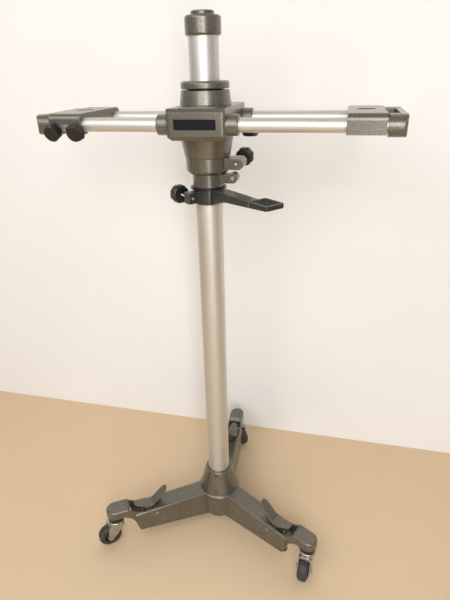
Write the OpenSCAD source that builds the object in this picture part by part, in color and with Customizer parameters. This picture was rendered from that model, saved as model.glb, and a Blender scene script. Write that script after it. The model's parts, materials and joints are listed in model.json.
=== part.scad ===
// Rolling studio camera stand.
// A cast three-arm base on swivel casters carries one upright tube. A cast carriage slides up and
// down the tube, turns about it and holds a twin-tube cross-arm with a camera platform near each end.
// A stop collar and a swing-out accessory arm sit on the tube below the carriage.
// Millimetres, +Z up. The origin is on the floor under the tube's axis, X runs along the cross-arm.

/* [Column] */
// Outside diameter of the upright tube
column_d = 70; // [66:1:74]
// Wall thickness of the upright tube
column_wall = 3; // [2:0.5:6]
// Height of the upright tube's top end above the floor
column_top_z = 1545; // [1500:5:1700]
// Width by which the end cap stands out past the tube
cap_lip = 6.5; // [4:0.5:10]
// Height of the end cap's skirt
cap_h = 41; // [30:1:60]
// Thickness of the end cap's top
cap_top = 10; // [6:1:16]
// Diameter of the round button on the end cap
cap_button_d = 53; // [30:1:60]
// Height of the round button on the end cap
cap_button_h = 8.5; // [4:0.5:14]

/* [Base] */
// Angle by which the three arms are turned about the column
base_turn = 2; // [-30:1:30]
// Height of the hub's top rim
hub_top_z = 212; // [200:1:250]
// Height of the hub's underside
hub_bottom_z = 26; // [20:1:34]
// Thickness of the hub's wall at its top rim
hub_rim = 9; // [5:0.5:10]
// Radius of the hub's cone at its foot
hub_foot_r = 66; // [58:1:68]
// Radius of the ledge at the foot of the hub
hub_ledge_r = 71; // [69:0.5:76]
// Height of the ledge at the foot of the hub
hub_ledge_z = 123; // [119:1:126]
// Thickness of the hub's floor under the tube
hub_floor = 10; // [6:1:20]
// Width of an arm
arm_w = 62; // [58:1:66]
// Height of an arm's top at the pedal's pivot
arm_top_z = 120; // [118:1:124]
// Angle by which an arm's top rises toward the hub
arm_slope = 3; // [1:0.5:4]
// Height of an arm's underside at its outer end
arm_tip_z = 44; // [38:1:50]
// Thickness of an arm's side walls
arm_wall = 7; // [5:0.5:9]
// Thickness of an arm's top wall
arm_deck = 10; // [7:0.5:12]
// Distance from the column to the bend in an arm's underside
knee_u = 168; // [150:1:180]
// Distance from the column to the plugs in an arm's sides
plug_u = 148; // [140:1:152]
// Height of the plugs in an arm's sides
plug_z = 95; // [85:1:98]
// Diameter of a plug
plug_d = 12; // [9:0.5:14]
// Rounding along an arm's upper edges
arm_edge = 6; // [3:0.5:10]
// Height of the raised nose over each caster
nose_top_z = 146; // [143:1:154]
// Height of the flat under the nose, where the caster is fixed
nose_bottom_z = 117; // [115:1:122]
// Width of the nose
nose_w = 54; // [50:1:56]
// Rounding of the nose's upper edge
nose_edge = 7; // [3:0.5:10]
// Distance from the column to the edge where the nose's top begins
nose_crest_u = 328; // [322:1:334]
// Distance from the column to each caster's swivel axis
caster_u = 367; // [364:1:390]

/* [Casters] */
// Diameter of a wheel
wheel_d = 75; // [70:1:76]
// Width of a wheel
wheel_w = 30; // [24:1:32]
// Distance from the swivel axis back to the wheel's axle
trail = 27; // [22:1:30]
// Diameter of a wheel's moulded hub
wheel_hub_d = 46; // [36:1:52]
// Diameter of an axle bolt
axle_d = 8; // [6:0.5:10]
// Diameter of the black collar under a nose
collar_d = 48; // [40:1:52]
// Height of the black collar under a nose
collar_h = 20; // [14:1:20]
// Diameter of the bearing ring above a fork
race_d = 52; // [44:1:56]
// Height of the bearing ring above a fork
race_h = 12; // [8:1:12]
// Thickness of a fork's sheet
fork_t = 3; // [2:0.5:4]
// Diameter of the swivel stem
stem_d = 12; // [8:1:16]
// Length of the stem inside the nose
stem_seat = 24; // [12:1:26]
// Directions in which the casters trail: left, right and rear
caster_turns = [-140, -103, -45];

/* [Brakes] */
// Distance from the column to a pedal's pivot
pedal_u = 232; // [228:1:236]
// Height of a pedal's pivot
pedal_z = 101; // [99:1:103]
// Diameter of a pedal's pivot pin
pedal_pin_d = 10; // [7:0.5:12]
// Thickness of a pedal's web
pedal_web = 12; // [8:1:14]
// Greatest width of a pedal's toe
toe_w = 38; // [32:1:39]
// Slope of a pedal's toe when released
toe_slope = 15; // [12:0.5:18]
// Height of the toe's underside above the pivot, over the plunger
toe_rise = 29; // [26:0.5:30]
// Thickness of a pedal's tread
pedal_plate = 5; // [4:0.5:7]
// Slope of a pedal's heel when released
heel_slope = 45; // [40:1:50]
// Inner radius of the bend between heel and toe
bend_r = 14; // [10:1:18]
// Width of a pedal's heel at its tip
heel_w = 29; // [20:1:32]
// Distance from the column to a brake plunger
brake_u = 278; // [274:1:282]
// Diameter of a brake plunger
plunger_d = 12; // [8:0.5:13]
// Diameter of a plunger's domed head
plunger_head_d = 18; // [16:0.5:19]
// Diameter of a rubber brake foot
foot_d = 26; // [20:1:30]
// Height of a released brake foot above the floor
foot_z = 20.5; // [18:0.5:24]
// Wire diameter of a brake's return spring
spring_wire = 1.8; // [1.2:0.1:2]
// Number of turns of a return spring
spring_turns = 6; // [4:1:8]

/* [Carriage] */
// Distance from the upright's top end down to the cross-arm's axis
carriage_drop = 213; // [130:1:800]
// Wall thickness of the carriage's guide bushes
bush_wall = 3.45; // [2:0.05:5]
// Length of a guide bush
bush_h = 36; // [20:1:40]
// Wall thickness of the guide sleeve on which the carriage turns
sleeve_wall = 5.5; // [4:0.5:7]
// Width of the carriage's body across the cross-arm's direction of travel
body_w = 142; // [136:1:143]
// Width of the carriage's body at its top
body_top_w = 136; // [120:1:140]
// Distance by which the body stands off the column's axis toward the right
body_x = 4.5; // [0:0.5:8]
// Height of the body's top above the cross-arm's axis
body_up = 36; // [32:1:40]
// Depth of the body's underside below the cross-arm's axis
body_down = 33; // [30:1:33]
// Wall in front of a cross tube
body_front = 11.3; // [9:0.1:16]
// Rounding of the body's upright corners
body_corner = 12; // [6:1:18]
// Chamfer along the body's upper edges
body_chamfer = 8; // [4:0.5:12]
// Chamfer along the body's lower edges
body_under = 11; // [11:0.5:14]
// Height of the round neck on the body
neck_h = 33.5; // [24:0.5:44]
// Wall of the neck at its top
neck_top_wall = 14; // [10:0.5:16]
// Wall of the neck at its foot
neck_foot_wall = 18.7; // [14:0.1:19]
// Height of the skirt under the body
skirt_h = 49; // [36:1:60]
// Wall of the skirt at its top
skirt_top_wall = 22; // [18:0.5:24]
// Wall of the skirt at its lower rim
skirt_wall = 13; // [11.5:0.5:16]
// Chamfer along the seams of the rings round the upright
seam = 1; // [0.6:0.1:1.5]
// Gap between the neck and the ring above it
ring_gap = 3; // [2:0.5:8]
// Height of the ring over the guide sleeve
top_ring_h = 17; // [12:0.5:24]
// Radius of a tube boss on the body's sides
boss_r = 23.3; // [23:0.1:26]
// Reach of the tube bosses to either side of the body's middle
boss_x = 95.5; // [95:0.5:104]
// Width of the bare plate on the body's front
plate_w = 97; // [80:1:104]
// Height of the bare plate on the body's front
plate_h = 21.5; // [16:0.5:26]
// Thickness of the bare plate
plate_t = 1.2; // [0.6:0.1:2]

/* [Clamps] */
// Height of the clamp ring under the carriage
clamp_h = 40; // [38:1:50]
// Wall of the clamp ring
clamp_wall = 11; // [9:0.5:11]
// Width of the clamp ring's lug
clamp_lug_w = 50; // [40:1:56]
// Height of the clamp ring's lug
clamp_lug_h = 27; // [22:1:30]
// Distance from the column's axis to the clamp screw
clamp_screw_x = 77; // [74:1:84]
// Width of the slit in a clamp
slit = 3; // [2:0.5:4]
// Diameter of the clamp screws
screw_d = 8; // [6:0.5:9]
// Diameter of a scalloped clamp knob
knob_d = 48; // [40:1:52]
// Height of a scalloped clamp knob
knob_h = 26; // [20:1:30]
// Length of bare screw between the clamp ring's lug and its knob
clamp_reach = 57; // [40:1:70]
// Gap between the clamp ring and the stop collar
stop_gap = 2; // [1:0.5:4]
// Wall of the stop collar
stop_wall = 5; // [4:0.5:7]
// Height of the stop collar
stop_h = 34; // [30:1:44]
// Distance from the column's axis to the stop collar's screw
stop_screw_x = 67; // [65:1:72]
// Radius of the stop collar's round lug
stop_lug_r = 12.5; // [11:0.5:13]
// Width of the stop collar's lug
stop_lug_w = 29; // [26:1:36]

/* [Accessory arm] */
// Wall of the nylon liner under the accessory arm
liner_wall = 1.5; // [1.5:0.1:2]
// Width of the liner's flange past the tube
liner_lip = 11; // [8:0.5:12]
// Thickness of the liner's flange
liner_flange = 4; // [2:0.5:6]
// Wall of the arm's collar
arm_collar_wall = 3.5; // [3:0.5:6]
// Height of the arm's collar
arm_collar_h = 35.5; // [30:0.5:40]
// Direction in which the arm points
arm_turn = -41; // [-60:1:-30]
// Direction of the arm's clamp ears from the column
ear_turn = -132; // [-150:1:-120]
// Distance from the column's axis to the arm's clamp screw
ear_u = 56; // [54:1:60]
// Reach of the arm to its outer end
arm_reach = 253; // [230:1:280]
// Length of the arm's pad
pad_l = 66; // [56:1:76]
// Width of the arm's pad
pad_w = 53.5; // [46:0.5:60]
// Thickness of the arm's pad
pad_t = 12.4; // [10:0.2:14]
// Height by which the arm's blade stands above its collar
blade_up = 3.5; // [0:0.5:4]
// Width of the arm where it leaves the collar
arm_root_w = 38; // [30:1:44]
// Length of bare screw between the arm's ears and its knob
ear_reach = 31; // [18:1:40]

/* [Cross-arm] */
// Outside diameter of a cross tube
tube_d = 32; // [30:0.5:34]
// Wall thickness of a cross tube
tube_wall = 2; // [1.5:0.5:4]
// Distance between the two cross tubes' axes
tube_spacing = 175.4; // [172:0.2:190]
// Distance from the column's axis to the cross-arm's left end
left_x = 397; // [380:1:450]
// Distance from the column's axis to the cross-arm's right end
right_x = 456; // [430:1:500]
// Width of an end yoke
yoke_w = 37; // [32:1:46]
// Thickness of an end yoke's outer web
yoke_web = 13; // [9:1:16]
// Radius of an end yoke's tube sockets
yoke_r = 23.5; // [21:0.5:25]
// Width of a camera platform
platform_w = 81; // [76:1:90]
// Height of a platform's top above the cross-arm's axis
platform_up = 26; // [25:0.5:32]
// Depth of a platform's lower edge below the cross-arm's axis
platform_down = 17; // [15:0.5:20]
// Distance from a cross tube's axis to a platform's front or rear face
platform_front = 24.3; // [23:0.1:28]
// Rounding along a platform's upper edges
platform_edge = 14; // [6:1:16]
// Wall thickness of a platform
platform_wall = 6; // [4:0.5:7]
// Gap between the left platform and its end yoke
left_gap = 0.5; // [0.5:0.5:40]
// Gap between the right platform and its end yoke
right_gap = 4; // [0.5:0.5:40]
// Diameter of the camera screw's hole
camera_hole_d = 10; // [7:0.5:12]
// Diameter of the round recess about the camera screw's hole
camera_recess_d = 42; // [30:1:46]
// Depth of the round recess
camera_recess = 1.5; // [0.5:0.1:2.5]
// Width of a tube strap under a platform
strap_w = 21; // [16:1:24]
// Wall of a tube strap
strap_wall = 6; // [4:0.5:6.5]
// Size of a square lock knob across its flats
wing_s = 36; // [30:1:37]
// Height of a square lock knob
wing_h = 19; // [14:1:24]
// Angle by which the platforms' lock screws point below the level
wing_tilt = 25; // [20:1:45]
// Turns of the lock knobs about their screws: left pair, right pair and cross-arm
wing_turns = [35, 15, 20, 40, 10];

/* [Clearances] */
// Radial clearance of a sliding or turning fit
run_gap = 0.06; // [0.02:0.01:0.1]
// Radial clearance of a fixed seat
seat_gap = 0.05; // [0.01:0.01:0.1]
// Clearance between faces that pass each other
face_gap = 0.3; // [0.2:0.1:0.6]

/* [Hidden] */
$fn = 72;
paint = "#6e685c";
dark_paint = "#3e3f3a";
bare_metal = "#c9c7c1";
plated = "#b9bcc0";
black_plastic = "#1e1e22";
black_rubber = "#262625";
tyre_grey = "#343331";
column_r = column_d / 2;
tube_r = tube_d / 2;
tube_y = tube_spacing / 2;
column_bore_r = column_r + run_gap;
column_foot_z = hub_bottom_z + hub_floor;

bush_r = column_bore_r + bush_wall;
sleeve_bore_r = bush_r + seat_gap;
sleeve_r = sleeve_bore_r + sleeve_wall;
turn_bore_r = sleeve_r + run_gap;
clamp_bore_r = sleeve_r + seat_gap;
carriage_z = column_top_z - carriage_drop;
body_top_z = carriage_z + body_up;
body_bottom_z = carriage_z - body_down;
body_d = tube_spacing + tube_d + 2 * body_front;
neck_z = body_top_z + neck_h;
ring_z = neck_z + ring_gap;
ring_top_z = ring_z + top_ring_h;
ring_cover = 3.5;
skirt_z = body_bottom_z - skirt_h;
clamp_z = skirt_z - clamp_h;
clamp_r = clamp_bore_r + clamp_wall;
clamp_screw_z = clamp_z + clamp_h * 0.6;
stop_z = clamp_z - stop_gap - stop_h;
stop_r = column_r + stop_wall;
stop_screw_z = stop_z + stop_h - 9.5;
flange_z = stop_z - liner_flange;
liner_r = column_bore_r + liner_wall;
arm_bore_r = liner_r + run_gap;
arm_collar_r = arm_bore_r + arm_collar_wall;
acc_top_z = flange_z - face_gap;
acc_z = acc_top_z - arm_collar_h;
acc_screw_z = acc_z + arm_collar_h / 2;
blade_z = acc_top_z + blade_up;

arm_angles = [base_turn - 150, base_turn - 30, base_turn + 90];
deck_z = arm_top_z - arm_deck;
collar_z = nose_bottom_z - collar_h;
race_z = collar_z - race_h;
axle_z = wheel_d / 2;
fork_in = wheel_w / 2 + 2;
toe_under_z = pedal_z + toe_rise;
pedal_bend_z = toe_under_z - (brake_u - pedal_u - 12) * tan(toe_slope) + pedal_plate / cos(toe_slope);
pedal_bend = [pedal_u + 12, pedal_bend_z];
dome_z = toe_under_z - 3 * face_gap - plunger_head_d / 2;
head_z = dome_z - 5;
pocket_z = 100;
boss_bottom_z = foot_z + 11.5;
spring_z = 60;
spring_pocket_d = plunger_head_d + 3;
brake_travel = 20.5;

left_yoke_x = -left_x;
right_yoke_x = right_x - yoke_w;
left_platform_x = left_yoke_x + yoke_w + left_gap;
right_platform_x = right_yoke_x - right_gap - platform_w;
platform_z = carriage_z + platform_up;
apron_z = carriage_z + 2;
strap_r = tube_r + run_gap + strap_wall;
wing_seat = strap_r + 4;
wing_off = strap_w / 2 + 0.5;

// Point where a line from p touches the circle of radius r about c, on side s
function touch(p, c, r, s) =
  let (v = p - c, a = atan2(v[1], v[0]) + s * acos(r / norm(v))) c + r * [cos(a), sin(a)];

// Flat rectangle about the origin with rounded corners
module round_rect(w, h, r) {
  square([w - 2 * r, h], center = true);
  square([w, h - 2 * r], center = true);
  for (x = [-1, 1]) {
    for (y = [-1, 1]) {
      translate([x * (w / 2 - r), y * (h / 2 - r)]) circle(r);
    }
  }
}

// Flat shape that stands on the X axis, with its two upper corners rounded
module top_round(w, h, r) {
  translate([-w / 2, 0]) square([w, h - r]);
  translate([-w / 2 + r, 0]) square([w - 2 * r, h]);
  for (x = [-1, 1]) {
    translate([x * (w / 2 - r), h - r]) circle(r);
  }
}

// Turned disc that stands on z = 0, with its outer edges rounded by lo and hi
module turned(r, h, lo, hi) {
  rotate_extrude() {
    translate([0, lo]) square([r, h - lo - hi]);
    square([r - lo, h - hi]);
    translate([0, lo]) square([r - hi, h - lo]);
    translate([r - lo, lo]) circle(lo);
    translate([r - hi, h - hi]) circle(hi);
  }
}

// Straight tube on the Z axis
module pipe(ro, ri, h) {
  difference() {
    cylinder(r = ro, h = h);
    translate([0, 0, -1]) cylinder(r = ri, h = h + 2);
  }
}

// Puts its child on an arm of the base: X outward, Y across, Z up
module on_arm(i) {
  rotate([0, 0, arm_angles[i]]) children();
}

// Extrudes a flat (u, z) shape across an arm by the width w
module across(w) {
  translate([0, w / 2, 0]) rotate([90, 0, 0]) linear_extrude(w) children();
}

// Extrudes a flat (y, z) shape along X from x by the length l
module along_x(x, l) {
  translate([x, 0, 0]) rotate([90, 0, 90]) linear_extrude(l) children();
}

// Extrudes a flat (x, z) shape along Y from y by the length l
module along_y(y, l) {
  translate([0, y + l, 0]) rotate([90, 0, 0]) linear_extrude(l) children();
}

// Round bar along X
module bar_x(x, l, r) {
  translate([x, 0, 0]) rotate([0, 90, 0]) cylinder(r = r, h = l);
}

// Round bar along Y
module bar_y(y, l, r) {
  translate([0, y, 0]) rotate([-90, 0, 0]) cylinder(r = r, h = l);
}

// Arm: a hollow rectangular casting with a gently sloped top and a raised round nose over the caster
module arm_casting() {
  rise = nose_top_z - arm_top_z + 2.5;
  run = nose_crest_u - brake_u + 16;
  rise_r = (run * run + rise * rise) / (2 * rise);
  difference() {
    union() {
      intersection() {
        across(arm_w) polygon([[30, nose_top_z], [30, hub_bottom_z + 2], [50, hub_bottom_z + 2],
          [knee_u, hub_bottom_z + 11], [brake_u + 14, arm_tip_z], [brake_u + 24, nose_bottom_z - 45],
          [brake_u + 26, nose_top_z]]);
        translate([pedal_u, 0, arm_top_z]) rotate([0, arm_slope, 0])
          along_x(-pedal_u, caster_u) translate([0, -arm_top_z]) top_round(arm_w, arm_top_z, arm_edge);
      }
      difference() {
        intersection() {
          across(nose_w) polygon([[nose_crest_u - run, arm_top_z - 10], [brake_u + 14, arm_tip_z],
            [brake_u + 24, nose_bottom_z - 45], [brake_u + 28, nose_bottom_z - 31],
            [brake_u + 36, nose_bottom_z - 17], [brake_u + 48, nose_bottom_z - 6],
            [brake_u + 63, nose_bottom_z], [caster_u, nose_bottom_z], [caster_u, nose_top_z],
            [nose_crest_u - run, nose_top_z]]);
          along_x(30, caster_u) top_round(nose_w, nose_top_z, nose_edge);
        }
        translate([nose_crest_u - run, 0, arm_top_z - 2.5 + rise_r]) bar_y(-arm_w, 2 * arm_w, rise_r);
      }
      translate([caster_u, 0, nose_bottom_z]) nose_end();
    }
    arm_hollow();
  }
}

// Round end of a nose: half a turned disc with its upper edge rounded
module nose_end() {
  h = nose_top_z - nose_bottom_z;
  rotate([0, 0, -90]) rotate_extrude(angle = 180) {
    square([nose_w / 2, h - nose_edge]);
    square([nose_w / 2 - nose_edge, h]);
    translate([nose_w / 2 - nose_edge, h - nose_edge]) circle(nose_edge);
  }
}

// Hollow under an arm, open below: deep under the level top, shallower under the toe pocket
module arm_hollow() {
  w = arm_w - 2 * arm_wall;
  translate([hub_ledge_r + 6, -w / 2, 0]) cube([pedal_u + 18 - hub_ledge_r - 6, w, deck_z]);
  translate([pedal_u + 10, -w / 2, 0]) cube([brake_u - pedal_u - 4, w, pocket_z - 8]);
}

// Openings in an arm's top and sides: pedal slot, toe pocket, pin bores, plug holes and drain hole
module arm_openings() {
  translate([pedal_u - 24, -pedal_web / 2 - 3, deck_z - 1]) cube([42, pedal_web + 6, arm_deck + 2]);
  translate([pedal_u + 13, -toe_w / 2 - 3, pocket_z]) cube([73, toe_w + 6, nose_top_z]);
  translate([pedal_u, 0, pedal_z]) bar_y(-arm_w, 2 * arm_w, pedal_pin_d / 2 + seat_gap);
  translate([plug_u, 0, plug_z]) bar_y(-arm_w, 2 * arm_w, plug_d / 2 + seat_gap);
  translate([plug_u + 9, 0, deck_z - 1]) cylinder(d = 6, h = arm_deck + 2);
}

// Bores of a brake plunger and of a caster's stem
module arm_bores() {
  translate([brake_u, 0, 0]) cylinder(r = plunger_d / 2 + run_gap, h = pocket_z + 1);
  translate([brake_u, 0, spring_z]) cylinder(d = spring_pocket_d, h = pocket_z);
  translate([caster_u, 0, nose_bottom_z - 1]) cylinder(r = stem_d / 2 + run_gap, h = stem_seat + 3);
}

// Hub: a tall cone round the tube on a drafted round foot with a ledge
module hub_casting() {
  rim_r = column_r + hub_rim;
  rotate_extrude() polygon([[0, hub_bottom_z], [hub_ledge_r - 14, hub_bottom_z],
    [hub_ledge_r - 7, hub_bottom_z + 8], [hub_ledge_r, hub_ledge_z], [hub_ledge_r - 1.5, hub_ledge_z + 3],
    [hub_foot_r, hub_ledge_z + 6], [rim_r, hub_top_z - 2], [rim_r - 1.5, hub_top_z], [0, hub_top_z]]);
}

// Places its child at each set-screw of the hub, pointing outward
module at_set_screws() {
  for (a = [0, 120, 240]) {
    for (z = [hub_ledge_z + 18, hub_top_z - 10.5]) {
      rotate([0, 0, base_turn - 90 + a]) translate([column_r + 0.4, 0, z]) rotate([0, 90, 0]) children();
    }
  }
}

module base_casting() {
  color(paint) difference() {
    union() {
      hub_casting();
      for (i = [0, 1, 2]) {
        on_arm(i) arm_casting();
        on_arm(i) translate([brake_u, 0, boss_bottom_z])
          cylinder(d = foot_d, h = pocket_z - 4 - boss_bottom_z);
      }
    }
    translate([0, 0, column_foot_z]) cylinder(r = column_r + seat_gap, h = hub_top_z);
    at_set_screws() translate([0, 0, -2]) cylinder(r = 3 + seat_gap, h = hub_ledge_r);
    for (i = [0, 1, 2]) {
      on_arm(i) arm_openings();
      on_arm(i) arm_bores();
    }
  }
}

module hub_set_screws() {
  color(plated) at_set_screws() difference() {
    cylinder(r = 3, h = 5);
    translate([0, 0, 2]) cylinder(d = 3.5, h = 4, $fn = 6);
  }
}

module arm_plugs() {
  color(paint) for (i = [0, 1, 2]) {
    for (s = [-1, 1]) {
      on_arm(i) translate([plug_u, s * (arm_w / 2 + 1), plug_z]) rotate([s * 90, 0, 0])
        turned(plug_d / 2, arm_wall + 1, 0.5, 0.5);
    }
  }
}

module caster_collars() {
  color(black_plastic) for (i = [0, 1, 2]) {
    on_arm(i) translate([caster_u, 0, collar_z]) difference() {
      turned(collar_d / 2, collar_h, 2, 3);
      translate([0, 0, -1]) cylinder(r = stem_d / 2 + run_gap, h = collar_h + 2);
    }
  }
}

// Puts its child at a caster: origin on the floor under the swivel axis, X along the trail
module at_caster(i) {
  on_arm(i) translate([caster_u, 0, 0]) rotate([0, 0, caster_turns[i] - arm_angles[i]]) children();
}

// Side cheek of a fork as a flat (x, z) shape: broad at the crown, round about the axle
module fork_cheek() {
  axle = [trail, axle_z];
  rear = [trail + 1, race_z];
  front = [-race_d / 2 + 4, race_z - 8];
  polygon([[front[0], race_z], front, touch(front, axle, 11, 1), axle, touch(rear, axle, 11, -1), rear]);
  translate(axle) circle(11);
}

module caster_fork(i) {
  crown = wheel_d + 2.5;
  color(plated) at_caster(i) difference() {
    union() {
      translate([0, 0, race_z]) turned(race_d / 2, race_h - face_gap, 2, 3);
      translate([0, 0, race_z]) cylinder(d = stem_d, h = nose_bottom_z - race_z + stem_seat);
      intersection() {
        across(2 * (fork_in + fork_t)) fork_cheek();
        translate([0, 0, 0]) linear_extrude(race_z) round_rect(4 * race_d, 2 * (fork_in + fork_t), 1);
      }
    }
    translate([-2 * race_d, -fork_in, 0]) cube([4 * race_d, 2 * fork_in, crown]);
    translate([trail, 0, axle_z]) bar_y(-2 * fork_in, 4 * fork_in, axle_d / 2 + seat_gap);
  }
}

module caster_axle(i) {
  span = fork_in + fork_t;
  color(plated) at_caster(i) translate([trail, 0, axle_z]) {
    bar_y(-span - 4, 2 * span + 8, axle_d / 2);
    for (s = [-1, 1]) {
      translate([0, s * (span + 2.5), 0]) rotate([90, 0, 0])
        cylinder(d = axle_d + 6, h = 5, center = true, $fn = 6);
    }
  }
}

module caster_tyre(i) {
  e = wheel_w * 0.3;
  color(tyre_grey) at_caster(i) translate([trail, wheel_w / 2, axle_z]) rotate([90, 0, 0]) difference() {
    turned(wheel_d / 2, wheel_w, e, e);
    translate([0, 0, -1]) cylinder(r = wheel_hub_d / 2 + seat_gap, h = wheel_w + 2);
  }
}

module caster_hub(i) {
  color(black_plastic) at_caster(i) translate([trail, wheel_w / 2, axle_z]) rotate([90, 0, 0])
  difference() {
    union() {
      cylinder(d = wheel_hub_d, h = wheel_w);
      translate([0, 0, -1.5]) cylinder(d = axle_d + 10, h = wheel_w + 3);
    }
    for (z = [-wheel_w + 6, wheel_w - 6]) {
      translate([0, 0, z]) pipe(wheel_hub_d / 2 - 4, axle_d / 2 + 5, wheel_w);
    }
    translate([0, 0, -2]) cylinder(r = axle_d / 2 + run_gap, h = wheel_w + 4);
  }
}

// Side view of a pedal's tread on the (u, z) plane: the heel, a round bend and the toe
module pedal_band() {
  heel_dir = 180 - heel_slope;
  half = (heel_dir - toe_slope) / 2;
  centre = pedal_bend + bend_r / sin(half) * [cos(toe_slope + half), sin(toe_slope + half)];
  heel_end = 80 * [cos(heel_dir), sin(heel_dir)];
  toe_end = 80 * [cos(toe_slope), sin(toe_slope)];
  low_r = bend_r + pedal_plate;
  turns = [for (k = [0:8]) heel_dir + 90 + k * (180 - 2 * half) / 8];
  rims = [for (a = turns) [cos(a), sin(a)]];
  polygon(concat([for (c = rims) centre + bend_r * c], [centre + bend_r * rims[8] + toe_end],
    [centre + low_r * rims[8] + toe_end], [for (k = [8:-1:0]) centre + low_r * rims[k]],
    [centre + low_r * rims[0] + heel_end], [centre + bend_r * rims[0] + heel_end]));
}

// Plan view of a pedal's tread: a leaf with a slim heel, broad in the middle
module pedal_outline() {
  discs = [[pedal_u - 43 + heel_w / 2, heel_w / 2], [pedal_u + 30, toe_w / 2],
    [pedal_u + 70 - toe_w / 3, toe_w / 3]];
  for (d = discs) {
    translate([d[0], 0]) circle(d[1]);
  }
  for (k = [0, 1]) {
    p = discs[k];
    q = discs[k + 1];
    a = acos((p[1] - q[1]) / (q[0] - p[0]));
    c = [cos(a), sin(a)];
    polygon([[p[0] + p[1] * c[0], -p[1] * c[1]], [q[0] + q[1] * c[0], -q[1] * c[1]],
      [q[0] + q[1] * c[0], q[1] * c[1]], [p[0] + p[1] * c[0], p[1] * c[1]]]);
  }
}

module brake_pedal(i) {
  eye = pedal_pin_d / 2 + 6;
  color(paint) on_arm(i) difference() {
    union() {
      intersection() {
        across(2 * toe_w) pedal_band();
        linear_extrude(2 * nose_top_z) pedal_outline();
      }
      across(pedal_web) {
        translate([pedal_u, pedal_z]) circle(eye);
        polygon([[pedal_u - eye, pedal_z], pedal_bend + [-28, 26], pedal_bend - [0, 1],
          pedal_bend + [22, 3], [pedal_u + eye, pedal_z]]);
      }
    }
    translate([pedal_u, 0, pedal_z]) bar_y(-arm_w, 2 * arm_w, pedal_pin_d / 2 + run_gap);
  }
}

module pedal_pins() {
  color(plated) for (i = [0, 1, 2]) {
    on_arm(i) translate([pedal_u, 0, pedal_z]) bar_y(-arm_w / 2 - 0.8, arm_w + 1.6, pedal_pin_d / 2);
  }
}

module brake_plunger(i) {
  head_r = plunger_head_d / 2;
  color(plated) on_arm(i) translate([brake_u, 0, 0]) rotate_extrude() {
    translate([0, foot_z + 4]) square([plunger_d / 2, head_z - foot_z]);
    translate([0, head_z]) square([head_r, dome_z - head_z]);
    translate([0, dome_z]) intersection() {
      circle(head_r);
      square(head_r);
    }
  }
}

module brake_foot(i) {
  color(black_rubber) on_arm(i) translate([brake_u, 0, foot_z]) difference() {
    turned(foot_d / 2, 10.5, 2, 1.5);
    translate([0, 0, 4]) cylinder(r = plunger_d / 2 + seat_gap, h = 10);
  }
}

// Return spring: one wire of six sides wound up between its seat in the arm and the plunger's head
spring_rings = 8 * spring_turns;
spring_r = (plunger_head_d - spring_wire) / 2;
spring_low = spring_z + spring_wire / 2 + 0.1;
spring_high = head_z - spring_wire / 2 - 0.1;
spring_line = [for (k = [0:spring_rings]) [spring_r * cos(45 * k), spring_r * sin(45 * k),
  spring_low + (spring_high - spring_low) * k / spring_rings]];
spring_skin = [for (k = [0:spring_rings]) for (s = [0:5]) spring_line[k]
  + spring_wire / 2 * [cos(60 * s) * cos(45 * k), cos(60 * s) * sin(45 * k), sin(60 * s)]];
spring_sides = [for (k = [0:spring_rings - 1]) for (s = [0:5]) for (t = [0, 1])
  t == 0 ? [6 * k + s, 6 * k + (s + 1) % 6, 6 * k + 6 + (s + 1) % 6]
    : [6 * k + s, 6 * k + 6 + (s + 1) % 6, 6 * k + 6 + s]];
spring_ends = [for (s = [1:4]) for (t = [0, 1])
  t == 0 ? [0, s + 1, s] : [6 * spring_rings, 6 * spring_rings + s, 6 * spring_rings + s + 1]];
spring_clear = min([for (k = [0:spring_rings]) for (m = [k + 5:1:spring_rings])
  norm(spring_line[k] - spring_line[m])]) - spring_wire;
echo(spring_least_gap = spring_clear);

module brake_spring(i) {
  color(plated) on_arm(i) translate([brake_u, 0, 0])
    polyhedron(points = spring_skin, faces = concat(spring_sides, spring_ends));
}

module column_tube() {
  color(bare_metal) translate([0, 0, column_foot_z])
    pipe(column_r, column_r - column_wall, column_top_z - column_foot_z);
}

module column_cap() {
  r = column_r + cap_lip;
  color(paint) difference() {
    union() {
      translate([0, 0, column_top_z + cap_top - cap_h]) turned(r, cap_h, 5, 7);
      translate([0, 0, column_top_z + cap_top - 2]) turned(cap_button_d / 2, cap_button_h + 2, 1, 3);
    }
    translate([0, 0, column_top_z - cap_h]) cylinder(r = column_r + seat_gap, h = cap_h);
  }
}

module guide_sleeve() {
  color(plated) translate([0, 0, clamp_z + 2])
    pipe(sleeve_r, sleeve_bore_r, ring_top_z - ring_cover - clamp_z - 2);
}

module guide_bush(z) {
  color(black_plastic) translate([0, 0, z]) pipe(bush_r, column_bore_r, bush_h);
}

module upper_bush() {
  guide_bush(ring_top_z - ring_cover - bush_h);
}

module lower_bush() {
  guide_bush(clamp_z + 2);
}

module top_ring() {
  color(paint) difference() {
    translate([0, 0, ring_z]) turned(sleeve_r + neck_top_wall, top_ring_h, 3, 6);
    translate([0, 0, ring_z - 1]) cylinder(r = sleeve_r + seat_gap, h = top_ring_h - ring_cover + 1);
    translate([0, 0, ring_z]) cylinder(r = column_r + 1.5, h = top_ring_h + 1);
  }
}

// Solid cone from radius r1 at z = 0 to r2 at z = h, with a small chamfer round its foot
module seamed_cone(r1, r2, h) {
  rotate_extrude() polygon([[0, 0], [r1 - seam, 0], [r1, seam], [r2, h], [0, h]]);
}

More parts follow.
